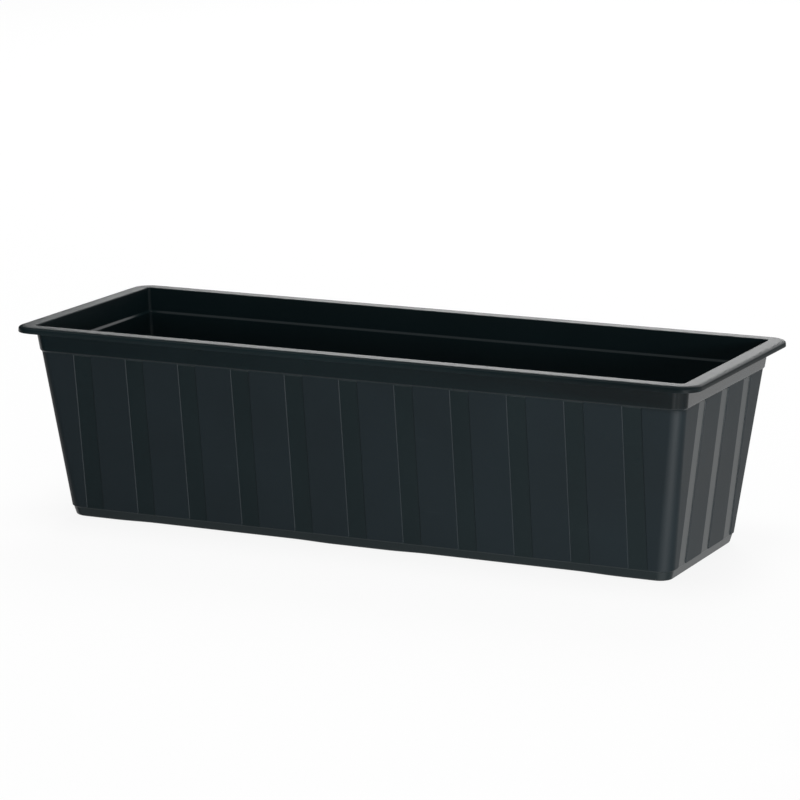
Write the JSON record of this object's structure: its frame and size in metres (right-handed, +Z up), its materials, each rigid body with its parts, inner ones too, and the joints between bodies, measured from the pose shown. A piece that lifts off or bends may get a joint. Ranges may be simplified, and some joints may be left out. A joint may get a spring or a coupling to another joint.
{
  "type": "balcony planter",
  "caption": "Long rectangular balcony planter trough with a flat turned-down rim, tapering panelled walls and push-in drain plugs that pull up out of its floor.",
  "frame": {"origin": "on the ground under the middle of the trough", "axes": "+X along the trough, +Z up, and the front long wall faces -Y"},
  "size_m": [0.5, 0.187, 0.137],
  "materials": {
    "trough_plastic": "satin moulded plastic with finely textured panels",
    "plug_plastic": "soft satin plastic"
  },
  "bodies": {
    "trough": {"trough": "trough_plastic"},
    "plug_1": {"drain_plug_1": "plug_plastic"},
    "plug_2": {"drain_plug_2": "plug_plastic"},
    "plug_3": {"drain_plug_3": "plug_plastic"},
    "plug_4": {"drain_plug_4": "plug_plastic"}
  },
  "joints": [
    {"name": "plug_1_pull", "type": "slide", "parent": "trough", "child": "plug_1", "axis": [0, 0, 1], "range_m": [0, 0.14]},
    {"name": "plug_2_pull", "type": "slide", "parent": "trough", "child": "plug_2", "axis": [0, 0, 1], "range_m": [0, 0.14]},
    {"name": "plug_3_pull", "type": "slide", "parent": "trough", "child": "plug_3", "axis": [0, 0, 1], "range_m": [0, 0.14]},
    {"name": "plug_4_pull", "type": "slide", "parent": "trough", "child": "plug_4", "axis": [0, 0, 1], "range_m": [0, 0.14]}
  ]
}
